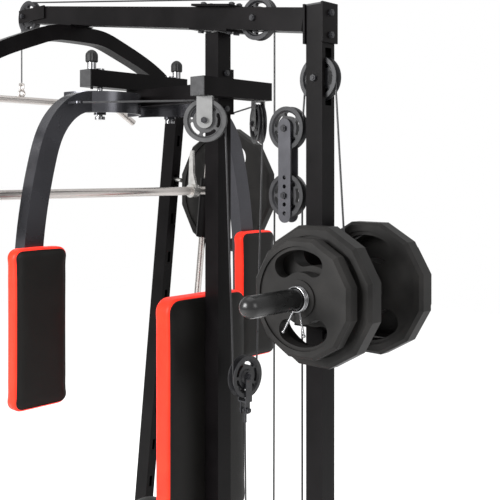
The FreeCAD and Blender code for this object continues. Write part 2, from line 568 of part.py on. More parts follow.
def pec_float():
    """Hanging pulley whose axle lies front to back, in a fork with a clevis and cable eye."""
    fork_half = PULLEY_T / 2 + CHEEK_GAP
    crown_z = -PULLEY_R - 8
    ear = fuse([block(fork_half, fork_half + 3, -12, 12, crown_z, 0),
                Part.makeCylinder(12, 3, V(fork_half, 0, 0), X_AXIS)])
    crown = block(-fork_half - 3, fork_half + 3, -12, 12, crown_z - 4, crown_z)
    tang = block(7, 10, -9, 9, crown_z - 36, crown_z - 4)
    bolt = axle(fork_half + 3, 0, 0)
    pin = hex_bolt((0, 0, crown_z - 26), (1, 0, 0), 4, 20)
    fork = fuse([ear, mirror_x(ear), crown, tang, mirror_x(tang)]).cut(bolt).cut(pin)
    eye = fuse([Part.makeTorus(7, 2.4, V(0, 0, crown_z - 26 - 3), X_AXIS), rod(4.5, (0, 0, crown_z - 60),
                                                                          (0, 0, crown_z - 36))])
    whole = group([fork, bolt, pin, eye.cut(pin)])
    nodes["pec_float_fork"] = placed(turned(whole, 90), 0, FLOAT_Y, FLOAT_Z)
    nodes["pec_float_pulley"] = placed(turned(pulley(PULLEY_R, PITCH_R), 90), 0, FLOAT_Y, FLOAT_Z)


# ---------------------------------------------------------------- pec-fly head
def pec_head(studs, pulley_tube):
    half = TUBE / 2
    low, high = PEC_Z - half, PEC_Z + half
    tube = square_tube(-PEC_HALF, PEC_HALF, PEC_Y - half, PEC_Y + half, low, high, "x")
    support = square_tube(-18, 18, PEC_Y - half, POST_Y - half, low - 50, low, "y")
    pivots, bores = list(studs), []
    for side, name in ((1, "left"), (-1, "right")):
        x = side * PIVOT_X
        pivots.append(fuse([rod(8, (x, PEC_Y, CAM_LOW - 14), (x, PEC_Y, high + 1)),
                            rod(15, (x, PEC_Y, CAM_LOW - 14), (x, PEC_Y, CAM_LOW - 5)),
                            rod(13, (x, PEC_Y, high), (x, PEC_Y, high + 6))]))
        arm, pad = pec_arm(side)
        nodes["pec_arm_" + name] = arm
        nodes["pec_pad_" + name] = pad
        pin_x = x + side * 30
        nodes["pull_pin_" + name] = fuse([rod(4, (pin_x, PEC_Y, low - 6), (pin_x, PEC_Y, high + 26)),
                                          rod(KNOB_R, (pin_x, PEC_Y, high + 24), (pin_x, PEC_Y, high + 42)),
                                          Part.makeSphere(KNOB_R, V(pin_x, PEC_Y, high + 42))])
        pin_room = rod(4 + RUN_GAP, (pin_x, PEC_Y, low - 10), (pin_x, PEC_Y, high + 30))
        pivots.append(rod(13, (pin_x, PEC_Y, high), (pin_x, PEC_Y, high + 22)).cut(pin_room))
        bores += [pin_room, rod(8, (x, PEC_Y, low - 10), (x, PEC_Y, high + 5))]
    nodes["crosstubes"] = group([tube.cut(group(bores)), support, pulley_tube])
    nodes["pivot_studs"] = group(pivots)


def cam(x):
    """Half-round band with a web and hub, open towards the front."""
    centre = V(x, PEC_Y, CAM_LOW)
    rear = block(x - 2 * CAM_R, x + 2 * CAM_R, PEC_Y - 12, PEC_Y + 2 * CAM_R, 0, 3000)
    rim = Part.makeCylinder(CAM_R, CAM_H, centre).cut(Part.makeCylinder(CAM_R - 5, CAM_H, centre))
    web = Part.makeCylinder(CAM_R - 2, 6, centre + V(0, 0, CAM_H / 2 - 3))
    hub = Part.makeCylinder(18, CAM_H, centre)
    return fuse([rim.common(rear), web.common(rear), hub])


def pec_arm(side):
    """The cam, and a bent tube that runs out and then down in front of the forearm pad."""
    line = [V(side * x, 0, z) for x, z in ARM_LINE]
    tube = arch_band(line, ARM_HALF_W, ARM_FRONT_Y, ARM_REAR_Y)
    bore = arch_band(line, ARM_HALF_W - WALL, ARM_FRONT_Y + WALL, ARM_REAR_Y - WALL)
    eye_z = SWIVEL_Z + BIG_PITCH_R
    tab_near, tab_far = sorted((side * (EYE_X - 10), side * (EYE_X + 10)))
    tab = fuse([block(tab_near, tab_far, ARM_REAR_Y - WALL, EYE_Y, eye_z - 3, eye_z + 3),
                rod(10, (side * EYE_X, EYE_Y, eye_z - 3), (side * EYE_X, EYE_Y, eye_z + 3))])
    eye_hole = rod(5, (side * EYE_X, EYE_Y, eye_z - 9), (side * EYE_X, EYE_Y, eye_z + 9))
    pivot_room = Part.makeCylinder(8 + RUN_GAP, CAM_H + 20, V(side * PIVOT_X, PEC_Y, CAM_LOW - 10))
    arm = fuse([cam(side * PIVOT_X), tube.cut(bore), tab]).cut(pivot_room).cut(eye_hole)
    middle = side * PEC_PAD_X
    pad = block(middle - PEC_PAD_HALF_W, middle + PEC_PAD_HALF_W, ARM_REAR_Y + PAD_GAP,
                ARM_REAR_Y + PAD_GAP + PEC_PAD_T, PEC_PAD_LOW, PEC_PAD_TOP)
    pad = pad.makeFillet(PEC_PAD_CORNER_R, [edge for edge in pad.Edges if abs(edge.tangentAt(0).y) > 0.9])
    return arm, pad


def end_caps():
    """Plastic caps closing the ends of the square tubes."""
    half = TUBE / 2
    caps = []
    for x, y, z in ((PEC_HALF, PEC_Y, PEC_Z), (CROSS_B_HALF, cross_b_y(), CROSS_B_Z)):
        caps.append(block(x, x + 3, y - half, y + half, z - half, z + half))
    for y in (BASE_FRONT_Y - 3, CROSS_Y + half):
        caps.append(block(UPRIGHT_X - 25, UPRIGHT_X + 25, y, y + 3, FOOT_H, FOOT_H + RAIL_H))
    caps.append(block(300, 303, WEIGHT_POST_Y - half, WEIGHT_POST_Y + half, FOOT_H, FOOT_H + RAIL_H))
    tower_cap = block(-half, half, WEIGHT_POST_Y - half, WEIGHT_POST_Y + half, WEIGHT_POST_TOP,
                      WEIGHT_POST_TOP + 4)
    nodes["tube_end_caps"] = group([both_sides(group(caps)), tower_cap])


# ---------------------------------------------------------------- smith bar
def smith_parts():
    y_rod = lean_y(ROD_FLOOR_Y, BAR_Z)
    y = y_rod + BAR_BEHIND_ROD
    arm_room = rod(BAR_R + RUN_GAP, (-1000, y, BAR_Z), (1000, y, BAR_Z))
    along = BAR_Z / math.cos(math.radians(LEAN_DEG))
    body = Part.makeCylinder(HOUSING_R, HOUSING_DROP + HOUSING_RISE,
                             V(ROD_X, ROD_FLOOR_Y, along - HOUSING_DROP))
    body = lean(body, ROD_FLOOR_Y)
    saddle = block(ROD_X - 22, ROD_X + 22, y_rod, y + 24, BAR_Z - 26, BAR_Z + 26)
    guide = lean(Part.makeCylinder(ROD_R + RUN_GAP, 2400, V(ROD_X, ROD_FLOOR_Y, -100)), ROD_FLOOR_Y)
    housing = fuse([body, saddle]).cut(guide).cut(arm_room)
    nodes["bearing_housings"] = both_sides(housing)

    nodes["smith_bar"] = rod(BAR_R, (-BAR_PLATE_X + 16, y, BAR_Z), (BAR_PLATE_X - 16, y, BAR_Z))
    inner_x = BAR_PLATE_X - 16
    sleeve = fuse([rod(BAR_SLEEVE_R, (inner_x, y, BAR_Z), (BAR_TIP_X - CAP_L, y, BAR_Z)),
                   rod(COLLAR_R, (inner_x, y, BAR_Z), (BAR_PLATE_X - 1, y, BAR_Z))])
    cap = end_cap(BAR_SLEEVE_R, BAR_TIP_X, y, BAR_Z)
    nodes["bar_sleeves"] = both_sides(group([sleeve, cap]))
    plate = twelve_sided(BAR_PLATE_R, BAR_PLATE_X, BAR_PLATE_T, y, BAR_Z)
    for face_x in (BAR_PLATE_X - 1, BAR_PLATE_X + BAR_PLATE_T - 5):
        dish = Part.makeCylinder(BAR_PLATE_R * 0.86, 6, V(face_x, y, BAR_Z), X_AXIS)
        plate = plate.cut(dish.cut(Part.makeCylinder(70, 8, V(face_x - 1, y, BAR_Z), X_AXIS)))
    plate = plate.cut(grips(BAR_PLATE_R, BAR_PLATE_X, BAR_PLATE_T, y, BAR_Z, BAR_GRIP))
    bore = rod(BAR_SLEEVE_R + 0.5, (BAR_PLATE_X - 5, y, BAR_Z), (BAR_TIP_X, y, BAR_Z))
    nodes["bar_weight_plates"] = both_sides(plate.cut(bore))

    face_y = y - 24
    tip_z = BAR_Z + HOOK_REACH
    outline = [(face_y + 4, BAR_Z), (face_y + 10, tip_z - 20), (face_y + 16, tip_z),
               (face_y + 26, tip_z), (face_y + 30, BAR_Z + 60), (y + 22, BAR_Z + 12)]
    points = [V(HOOK_X - 5, py, pz) for py, pz in outline]
    finger = Part.Face(Part.makePolygon(points + points[:1])).extrude(V(10, 0, 0))
    hub = Part.makeCylinder(24, 30, V(HOOK_X - 15, y, BAR_Z), X_AXIS)
    hook = fuse([finger, hub]).cut(rod(BAR_R, (0, y, BAR_Z), (600, y, BAR_Z)))
    nodes["safety_hooks"] = both_sides(hook)


# ---------------------------------------------------------------- pads and seat
def seat_and_back():
    half = TUBE / 2
    front = POST_Y - half
    back_rear = front - BACK_PLATE_T - PAD_GAP
    back = block(-BACK_HALF_W, BACK_HALF_W, back_rear - BACK_T, back_rear, BACK_LOW, BACK_TOP)
    back = back.makeFillet(PAD_CORNER_R, [edge for edge in back.Edges if abs(edge.tangentAt(0).y) > 0.9])
    nodes["backrest_pad"] = back
    strut = square_tube(-half, half, CROSS_Y - half, CROSS_Y + half, FOOT_H + RAIL_H, SEAT_BEAM_Z, "z")
    strut = strut.cut(block(-9, 9, CROSS_Y - half - 1, CROSS_Y + half + 1, 0, FOOT_H + RAIL_H + 30))
    beam = square_tube(-half, half, front - 420, front, SEAT_BEAM_Z, SEAT_BEAM_Z + TUBE, "y")
    nodes["seat_frame"] = group([strut, beam])
    seat_low = SEAT_BEAM_Z + TUBE + PAD_GAP
    seat = block(-SEAT_HALF_W, SEAT_HALF_W, front - 30 - SEAT_LENGTH, front - 30, seat_low, seat_low + SEAT_T)
    seat = seat.makeFillet(PAD_CORNER_R, [edge for edge in seat.Edges if abs(edge.tangentAt(0).z) > 0.9])
    nodes["seat_pad"] = seat


# ---------------------------------------------------------------- cables
def cables():
    front_z = front_pulley_z()
    over_front = (0, FRONT_PULLEY_Y, front_z + BIG_PITCH_R)
    over_boom = (0, BOOM_PULLEY_Y, BOOM_PULLEY_Z + BIG_PITCH_R)
    hang_y = FRONT_PULLEY_Y - BIG_PITCH_R
    spots = base_pulley_spots()
    rear_y, rear_z = spots["base_pulley_rear"]
    mid_y, mid_z = spots["base_pulley_mid"]
    low_y, low_z = spots["low_row_pulley"]
    fixed = [cable([over_front, over_boom]),
             cable_arc(FRONT_PULLEY_Y, front_z, BIG_PITCH_R, 92, 179),
             cable_arc(BOOM_PULLEY_Y, BOOM_PULLEY_Z, BIG_PITCH_R, 88, 1),
             cable_arc(WEIGHT_POST_Y, TOWER_PULLEY_Z, PITCH_R, 3, 177),
             cable([(0, hang_y, front_z), (0, hang_y, LAT_HANG_Z)]),
             cable_arc(mid_y, mid_z, PITCH_R, 182, 358),
             cable_arc(rear_y, rear_z, PITCH_R, 358, 272),
             cable([(0, rear_y, rear_z - PITCH_R), (0, low_y, low_z - PITCH_R)]),
             cable_arc(low_y, low_z, PITCH_R, 268, 182),
             cable([(0, low_y - PITCH_R, low_z), (0, low_y - PITCH_R, low_z + 90)])]
    y = cross_b_y()
    turn = math.radians(SWIVEL_TURN)
    lead_z = SWIVEL_Z + BIG_PITCH_R
    drops = []
    for side in SIDES:
        x = side * SWIVEL_X
        lead_end = (side * (EYE_X - EYE_REACH * math.sin(turn)), EYE_Y + EYE_REACH * math.cos(turn), lead_z)
        fixed.append(cable([(x, y, lead_z), lead_end]))
        top = (x - side * BIG_PITCH_R * math.sin(turn), y + BIG_PITCH_R * math.cos(turn), SWIVEL_Z)
        drops.append(cable([top, (side * PITCH_R, FLOAT_Y, FLOAT_Z)]))
    nodes["fixed_cables"] = group(fixed)
    nodes["pec_drop_cables"] = group(drops)
    nodes["weight_cable"] = cable([(0, WEIGHT_POST_Y + PITCH_R, TOWER_PULLEY_Z),
                                   (0, WEIGHT_CABLE_Y, CARRIAGE_Z + 62.5)])
    block_front, block_rear = BLOCK_Y - PITCH_R, BLOCK_Y + PITCH_R
    nodes["block_cable_upper"] = group([
        cable([(0, BOOM_PULLEY_Y + BIG_PITCH_R, BOOM_PULLEY_Z), (0, block_front, BLOCK_UPPER_Z)]),
        cable([(0, WEIGHT_POST_Y - PITCH_R, TOWER_PULLEY_Z), (0, block_rear, BLOCK_UPPER_Z)])])
    nodes["block_cable_lower"] = group([
        cable([(0, block_front, BLOCK_LOWER_Z), (0, mid_y + PITCH_R, mid_z)]),
        cable([(0, block_rear, BLOCK_LOWER_Z), (0, rear_y + PITCH_R, rear_z)])])
    nodes["pec_low_cable"] = cable([(0, FLOAT_Y, FLOAT_Z - PULLEY_R - 68.5), (0, mid_y - PITCH_R, mid_z)])
    lat_bar(hang_y, LAT_HANG_Z)


def lat_bar(y, top):
    """A bar with drooping ends, on a snap hook at the end of the cable."""
    grip_z = top - 62
    pieces = [rod(LAT_BAR_R, (-LAT_GRIP_HALF, y, grip_z), (LAT_GRIP_HALF, y, grip_z)),
              Part.makeTorus(11, 4, V(0, y, top - 38), Y_AXIS)]
    for side in SIDES:
        bend, end = side * LAT_GRIP_HALF, side * LAT_END_X
        pieces.append(rod(LAT_BAR_R, (bend, y, grip_z), (end, y, grip_z - LAT_DROOP)))
        pieces.append(Part.makeSphere(LAT_BAR_R, V(bend, y, grip_z)))
    snap = fuse([Part.makeTorus(12, 3, V(0, y, top - 17), X_AXIS),
                 rod(6, (-8, y, top - SNAP_DROP), (8, y, top - SNAP_DROP))])
    bar = fuse(pieces)
    nodes["lat_bar"] = group([bar, snap.cut(bar)])


slanted_frame(floor_frame())
arch()
spine()
frame_pulleys()
floating_block()
weight_carriage()
pivot_parts = swivel_group()
pec_float()
pec_head(*pivot_parts)
end_caps()
smith_parts()
seat_and_back()
cables()

whole = FreeCAD.BoundBox()
for name, shape in nodes.items():
    shape.exportStep(f"parts/{name}.step")
    whole.add(shape.BoundBox)
    print(name, len(shape.Solids), shape.isValid())
print("sub-parts", len(nodes), "box", whole)
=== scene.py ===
import json
import math

import bmesh
import bpy
from mathutils import Matrix, Vector


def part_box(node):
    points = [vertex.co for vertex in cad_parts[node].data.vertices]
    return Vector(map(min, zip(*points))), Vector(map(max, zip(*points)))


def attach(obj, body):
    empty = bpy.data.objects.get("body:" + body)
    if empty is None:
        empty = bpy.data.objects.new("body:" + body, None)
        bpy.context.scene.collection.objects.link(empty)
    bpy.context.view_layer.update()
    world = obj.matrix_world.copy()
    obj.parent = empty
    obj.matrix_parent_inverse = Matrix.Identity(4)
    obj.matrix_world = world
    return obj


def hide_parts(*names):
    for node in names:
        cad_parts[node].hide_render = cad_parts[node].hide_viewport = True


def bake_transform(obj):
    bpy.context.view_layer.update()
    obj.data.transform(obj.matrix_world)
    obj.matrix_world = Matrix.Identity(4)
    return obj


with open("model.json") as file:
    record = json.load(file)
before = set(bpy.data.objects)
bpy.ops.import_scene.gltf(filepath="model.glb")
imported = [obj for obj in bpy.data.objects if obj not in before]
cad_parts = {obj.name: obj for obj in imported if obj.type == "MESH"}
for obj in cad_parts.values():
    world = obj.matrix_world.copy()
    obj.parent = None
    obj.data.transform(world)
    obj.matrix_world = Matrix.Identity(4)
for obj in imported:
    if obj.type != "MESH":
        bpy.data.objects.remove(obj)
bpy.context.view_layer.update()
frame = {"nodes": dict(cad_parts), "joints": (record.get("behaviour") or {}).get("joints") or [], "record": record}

# ---------------------------------------------------------------- places taken from the frame
JOINTS = {joint["name"]: joint for joint in frame["joints"]}
FLOOR_SIZE = 14.0


def box_of(node):
    low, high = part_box(node)
    return Vector(low), Vector(high)


def middle_of(node):
    low, high = box_of(node)
    return (low + high) / 2


POST = middle_of("back_post")
CABLE_R = 0.0025


# ---------------------------------------------------------------- camera, floor and light
CAMERA_FROM_POST = (1.6695, 1.6264)
CAMERA_HEIGHT = 1.56
CAMERA_AZIMUTH = 133.7    # degrees
FOCAL_LENGTH = 60.4       # millimetres, on the sensor below
SENSOR_WIDTH = 36.0
VIEW_SHIFT = (0.048, -0.156)


def add_camera():
    """A level view from behind one corner of the machine, framed on the cable tower."""
    data = bpy.data.cameras.new("camera")
    data.lens = FOCAL_LENGTH
    data.sensor_width = SENSOR_WIDTH
    data.shift_x, data.shift_y = VIEW_SHIFT
    camera = bpy.data.objects.new("camera", data)
    bpy.context.collection.objects.link(camera)
    camera.location = (POST.x + CAMERA_FROM_POST[0], POST.y + CAMERA_FROM_POST[1], CAMERA_HEIGHT)
    camera.rotation_euler = (math.radians(90), 0, math.radians(CAMERA_AZIMUTH))
    bpy.context.scene.camera = camera


def add_floor():
    mesh = bpy.data.meshes.new("studio_floor")
    half = FLOOR_SIZE / 2
    corners = [(-half, -half, 0), (half, -half, 0), (half, half, 0), (-half, half, 0)]
    mesh.from_pydata(corners, [], [(0, 1, 2, 3)])
    floor = bpy.data.objects.new("studio_floor", mesh)
    bpy.context.collection.objects.link(floor)
    floor.data.materials.append(surface("studio_paint", (0.97, 0.97, 0.97), roughness=0.8,
                                        grain=3.0, colour_change=0.01, bump=0.0, specular=0.1))


def add_area_light(name, place, target, size, power):
    data = bpy.data.lights.new(name, "AREA")
    data.shape = "SQUARE"
    data.size = size
    data.energy = power
    light = bpy.data.objects.new(name, data)
    bpy.context.collection.objects.link(light)
    light.location = place
    light.rotation_euler = (Vector(target) - Vector(place)).to_track_quat("-Z", "Y").to_euler()


def add_light():
    bpy.context.scene.view_settings.view_transform = "Standard"
    world = bpy.data.worlds.new("studio")
    world.use_nodes = True
    background = world.node_tree.nodes["Background"]
    background.inputs["Color"].default_value = (1.0, 1.0, 1.0, 1.0)
    background.inputs["Strength"].default_value = 1.0
    bpy.context.scene.world = world
    middle = (0, 0, 1.2)
    add_area_light("key_light", (3.3, -0.3, 2.4), middle, size=1.6, power=260)
    add_area_light("rear_light", (0.2, 4.2, 2.6), middle, size=2.0, power=60)
    add_area_light("top_light", (0.0, 0.2, 4.5), middle, size=3.0, power=45)


# ---------------------------------------------------------------- materials
GLOSS_SPREAD = 0.07       # how far the roughness strays to each side
FINE_DEPTH = 0.0006       # depth of the fine bump of painted and moulded parts
PEBBLE_DEPTH = 0.0008
PEBBLE_SCALE = 420.0      # pebbles of the vinyl's grain in a metre


def surface(name, colour, roughness=0.5, metallic=0.0, grain=60.0, colour_change=0.15, bump=0.1,
            bump_grain=400.0, stretch=(1, 1, 1), specular=0.5):
    """A procedural surface: uneven colour and roughness at one scale, and a fine bump at another."""
    material = bpy.data.materials.new(name)
    material.use_nodes = True
    tree = material.node_tree
    shader = tree.nodes["Principled BSDF"]
    place = tree.nodes.new("ShaderNodeTexCoord")
    scale = tree.nodes.new("ShaderNodeMapping")
    scale.inputs["Scale"].default_value = stretch
    tree.links.new(place.outputs["Object"], scale.inputs["Vector"])

    patches = tree.nodes.new("ShaderNodeTexNoise")
    patches.inputs["Scale"].default_value = grain
    patches.inputs["Detail"].default_value = 5.0
    tree.links.new(scale.outputs["Vector"], patches.inputs["Vector"])

    shades = tree.nodes.new("ShaderNodeValToRGB")
    dark = [channel * (1 - colour_change) for channel in colour]
    light = [min(channel * (1 + colour_change), 1.0) for channel in colour]
    shades.color_ramp.elements[0].position = 0.35
    shades.color_ramp.elements[0].color = (*dark, 1)
    shades.color_ramp.elements[1].position = 0.65
    shades.color_ramp.elements[1].color = (*light, 1)
    tree.links.new(patches.outputs["Fac"], shades.inputs["Fac"])
    tree.links.new(shades.outputs["Color"], shader.inputs["Base Color"])

    gloss = tree.nodes.new("ShaderNodeMapRange")
    gloss.inputs["To Min"].default_value = max(roughness - GLOSS_SPREAD, 0.03)
    gloss.inputs["To Max"].default_value = min(roughness + GLOSS_SPREAD, 1.0)
    tree.links.new(patches.outputs["Fac"], gloss.inputs["Value"])
    tree.links.new(gloss.outputs["Result"], shader.inputs["Roughness"])
    shader.inputs["Metallic"].default_value = metallic
    shader.inputs["Specular IOR Level"].default_value = specular

    if bump > 0:
        fine = tree.nodes.new("ShaderNodeTexNoise")
        fine.inputs["Scale"].default_value = bump_grain
        fine.inputs["Detail"].default_value = 3.0
        relief = tree.nodes.new("ShaderNodeBump")
        relief.inputs["Strength"].default_value = bump
        relief.inputs["Distance"].default_value = FINE_DEPTH
        tree.links.new(scale.outputs["Vector"], fine.inputs["Vector"])
        tree.links.new(fine.outputs["Fac"], relief.inputs["Height"])
        tree.links.new(relief.outputs["Normal"], shader.inputs["Normal"])
    return material


def vinyl(name, colour, roughness=0.42):
    """Upholstery vinyl: a pebbled grain over soft, uneven colour."""
    material = surface(name, colour, roughness=roughness, grain=14.0, colour_change=0.12, bump=0.0,
                       specular=0.15)
    tree = material.node_tree
    shader = tree.nodes["Principled BSDF"]
    pebbles = tree.nodes.new("ShaderNodeTexVoronoi")
    pebbles.feature = "F1"
    pebbles.inputs["Scale"].default_value = PEBBLE_SCALE
    relief = tree.nodes.new("ShaderNodeBump")
    relief.inputs["Strength"].default_value = 0.35
    relief.inputs["Distance"].default_value = PEBBLE_DEPTH
    mapping = next(node for node in tree.nodes if node.type == "MAPPING")
    tree.links.new(mapping.outputs["Vector"], pebbles.inputs["Vector"])
    tree.links.new(pebbles.outputs["Distance"], relief.inputs["Height"])
    tree.links.new(relief.outputs["Normal"], shader.inputs["Normal"])
    shader.inputs["Sheen Weight"].default_value = 0.03
    return material


def make_materials():
    return {
        "black_steel": surface("black_steel", (0.0026, 0.0022, 0.0024), roughness=0.34, grain=9.0,
                               colour_change=0.3, bump=0.22, bump_grain=700.0, specular=0.065),
        "grey_steel": surface("grey_steel", (0.031, 0.031, 0.036), roughness=0.36, grain=22.0, bump=0.12,
                              specular=0.3),
        "light_steel": surface("light_steel", (0.135, 0.135, 0.134), roughness=0.34, grain=30.0,
                               colour_change=0.08, bump=0.1, specular=0.4),
        "bright_steel": surface("bright_steel", (0.60, 0.59, 0.57), roughness=0.24, metallic=1.0,
                                grain=50.0, colour_change=0.1, bump=0.06),
        "dark_chrome": surface("dark_chrome", (0.20, 0.20, 0.205), roughness=0.2, metallic=1.0,
                               grain=50.0, colour_change=0.1, bump=0.06),
        "satin_chrome": surface("satin_chrome", (0.48, 0.45, 0.43), roughness=0.27, metallic=1.0,
                                grain=40.0, colour_change=0.06, bump=0.10, stretch=(0.05, 1, 1)),
        "arm_steel": surface("arm_steel", (0.052, 0.052, 0.058), roughness=0.26, metallic=0.8,
                             grain=6.0, colour_change=0.10, bump=0.05, bump_grain=500.0, specular=0.3),
        "dark_steel": surface("dark_steel", (0.016, 0.016, 0.018), roughness=0.28, grain=80.0, bump=0.1,
                              specular=0.3),
        "pulley_plastic": surface("pulley_plastic", (0.0125, 0.0125, 0.014), roughness=0.40, grain=45.0,
                                  colour_change=0.2, bump=0.15, bump_grain=600.0, specular=0.3),
        # A lighter copy of the pulley plastic, used on the left swivel pulley only: painted light, where that
        # pulley stands lit
        "painted_lit_pulley": surface("painted_lit_pulley", (0.033, 0.033, 0.034), roughness=0.4, grain=45.0,
                               colour_change=0.15, bump=0.12, bump_grain=600.0, specular=0.4),
        "grey_plastic": surface("grey_plastic", (0.030, 0.030, 0.031), roughness=0.5, grain=60.0, bump=0.15,
                                specular=0.2),
        "black_plastic": surface("black_plastic", (0.008, 0.008, 0.008), roughness=0.5, grain=60.0,
                                 bump=0.2, bump_grain=800.0, specular=0.2),
        "rubber_plate": surface("rubber_plate", (0.0085, 0.0080, 0.0076), roughness=0.50, grain=11.0,
                                colour_change=0.4, bump=0.3, bump_grain=330.0, specular=0.14),
        "rubber": surface("rubber", (0.008, 0.008, 0.008), roughness=0.75, grain=40.0, bump=0.3,
                          specular=0.2),
        "sleeve_paint": surface("sleeve_paint", (0.0055, 0.0055, 0.0055), roughness=0.26, grain=25.0,
                                colour_change=0.2, bump=0.08, specular=0.3),
        "cable": surface("cable", (0.016, 0.016, 0.017), roughness=0.3, grain=90.0, bump=0.25,
                         bump_grain=1500.0, specular=0.3),
        "black_vinyl": vinyl("black_vinyl", (0.0022, 0.0018, 0.0014)),
        "red_vinyl": vinyl("red_vinyl", (0.98, 0.020, 0.006), roughness=0.46),
    }


MATERIALS = make_materials()
# The nodes whose finish differs from the usual one of their slot.
LOOKS = {
    "dark_chrome": ("spring_clips", "pivot_studs"),
    "light_steel": ("swivel_fork_left", "swivel_fork_right"),
    # The left swivel pulley alone is lighter than its twin on the right: painted light
    "painted_lit_pulley": ("swivel_pulley_left",),
    "arm_steel": ("pec_arm_left", "pec_arm_right"),
    "dark_steel": ("pec_float_fork",),
}
BOLT_REACH = 0.0095       # a bolt's faces lie this near its axis


def darken_bolts(node, axis, *places):
    """The bolts that belong to a lighter node take the dark steel, face by face."""
    item = frame["nodes"][node]
    item.data.materials.append(MATERIALS["dark_steel"])
    for face in item.data.polygons:
        for place in places:
            offset = face.center - place
            if (offset - axis * offset.dot(axis)).length < BOLT_REACH:
                face.material_index = len(item.data.materials) - 1


def dress_frame():
    """Every node of the frame that stays in view takes the material of its slot."""
    slots = {part["node"]: part["material_slot"] for part in frame["record"]["subparts"]}
    special = {node: look for look, names in LOOKS.items() for node in names}
    for node, item in frame["nodes"].items():
        look = special.get(node, slots[node])
        look = "black_vinyl" if look == "upholstery" else look
        for index in range(len(item.material_slots)):
            item.material_slots[index].material = MATERIALS[look]
    sideways = Vector((1, 0, 0))
    darken_bolts("block_link_plates", sideways, middle_of("block_pulley_upper"),
                 middle_of("block_pulley_lower"))
    for word in ("left", "right"):
        axis = Vector(JOINTS[f"swivel_pulley_{word}_spin"]["axis"])
        darken_bolts(f"swivel_fork_{word}", axis, middle_of(f"swivel_pulley_{word}"))


# ---------------------------------------------------------------- small makers
def add_mesh(name, made, material, smooth=True):
    mesh = bpy.data.meshes.new(name)
    made.to_mesh(mesh)
    made.free()
    if smooth:
        mesh.shade_smooth()
    item = bpy.data.objects.new(name, mesh)
    bpy.context.collection.objects.link(item)
    item.data.materials.append(MATERIALS[material])
    return item


def add_tube(name, points, radius, material, closed=False):
    """A round tube along a list of points, for seams and cables."""
    curve = bpy.data.curves.new(name, "CURVE")
    curve.dimensions = "3D"
    curve.bevel_depth = radius
    curve.bevel_resolution = 4
    line = curve.splines.new("POLY")
    line.points.add(len(points) - 1)
    for point, place in zip(line.points, points):
        point.co = (*place, 1)
    line.use_cyclic_u = closed
    item = bpy.data.objects.new(name, curve)
    bpy.context.collection.objects.link(item)
    item.data.materials.append(MATERIALS[material])
    return item


# ---------------------------------------------------------------- pads
CORNER_R = 0.040
EDGE_R = 0.013            # rounding between a pad's face and its side
PAD_GIVE = 0.004          # how far the foam may push the cover out
SEAM_R = 0.0013
SEAM_ANGLE = 60           # place of the seam on the rounded edge, in degrees from the side
EDGE_ANGLES = (90, SEAM_ANGLE, 35, 12)
WEAVE = 0.012             # spacing of the cover's mesh
FACE_SAG = 0.004          # how far the ends of the pad's inner rows bow out
FACE_REACH = 0.94         # the innermost row's inset, as a share of the pad's half width
INNER_CORNER = 0.3        # share of the corner's radius that the inner rows start from
FOREARM_CORNER_R = 0.026
CORNER_STEPS = 5
CORNER_STEP = 18          # degrees
CLOTH_STEPS = 14


def steps_for(length):
    return max(2, round(length / WEAVE))


def half_outline(half_w, half_h, inset, corner):
    """Points from the bottom middle to the top middle, along the +X side of a rounded rectangle."""
    across, up = steps_for(half_w - corner), steps_for(2 * (half_h - corner))
    wide, tall = half_w - inset, half_h - inset
    radius = max(corner - inset, INNER_CORNER * corner * (1 - inset / half_w))
    sag = FACE_SAG * inset / half_w
    points = [((wide - radius) * k / across, -tall - sag * (1 - (k / across) ** 2)) for k in range(across)]
    points += [(wide - radius + radius * math.sin(math.radians(CORNER_STEP * k)),
                -tall + radius - radius * math.cos(math.radians(CORNER_STEP * k)))
               for k in range(CORNER_STEPS)]
    points += [(wide, (tall - radius) * (2 * k / up - 1)) for k in range(up + 1)]
    points += [(x, -z) for x, z in reversed(points[:across + CORNER_STEPS])]
    return points


def pad_rows(half_w, thick):
    """Inset and depth of each row of the cover, front to back, and the number of the front seam's row."""
    half = thick / 2
    spread = steps_for(half_w - EDGE_R)
    innermost = half_w * FACE_REACH
    face = [(innermost - (innermost - EDGE_R) * k / spread, -half) for k in range(spread)]
    edge = [(EDGE_R * (1 - math.cos(math.radians(a))), -half + EDGE_R * (1 - math.sin(math.radians(a))))
            for a in EDGE_ANGLES]
    side = [(0.0, -half + EDGE_R)]
    front = face + edge + side
    return front + [(0.0, 0.0)] + [(inset, -depth) for inset, depth in reversed(front)], len(face) + 1


def pad_shape(name, half_w, half_h, thick, corner):
    """A rounded slab standing in XZ, its thickness along Y, and the vertices of its two seams."""
    made = bmesh.new()
    rows, seam_row = pad_rows(half_w, thick)
    rings = []
    for inset, depth in rows:
        half = half_outline(half_w, half_h, inset, corner)
        ring = half + [(-x, z) for x, z in reversed(half[1:-1])]
        rings.append([made.verts.new((x, depth, z)) for x, z in ring])
    count = len(rings[0])
    last_row = len(rings) - 1
    for row in range(last_row):
        red = seam_row <= row < last_row - seam_row
        for index in range(count):
            after = (index + 1) % count
            face = made.faces.new((rings[row][index], rings[row][after],
                                   rings[row + 1][after], rings[row + 1][index]))
            face.material_index = 1 if red else 0
    for ring in (rings[0], rings[-1]):
        made.faces.new((ring[0], ring[1], ring[-1]))
        made.faces.new((ring[count // 2], ring[count // 2 + 1], ring[count // 2 - 1]))
        for index in range(1, count // 2 - 1):
            made.faces.new((ring[index], ring[index + 1], ring[-index - 1], ring[-index]))
    bmesh.ops.recalc_face_normals(made, faces=made.faces)
    item = add_mesh(name, made, "black_vinyl")
    item.data.materials.append(MATERIALS["red_vinyl"])
    return item, [range(row * count, (row + 1) * count) for row in (seam_row, last_row - seam_row)]


def use_modifier(item, kind, **settings):
    modifier = item.modifiers.new(kind.lower(), kind)
    for key, value in settings.items():
        setattr(modifier, key, value)
    with bpy.context.temp_override(object=item, active_object=item, selected_objects=[item]):
        bpy.ops.object.modifier_apply(modifier=modifier.name)


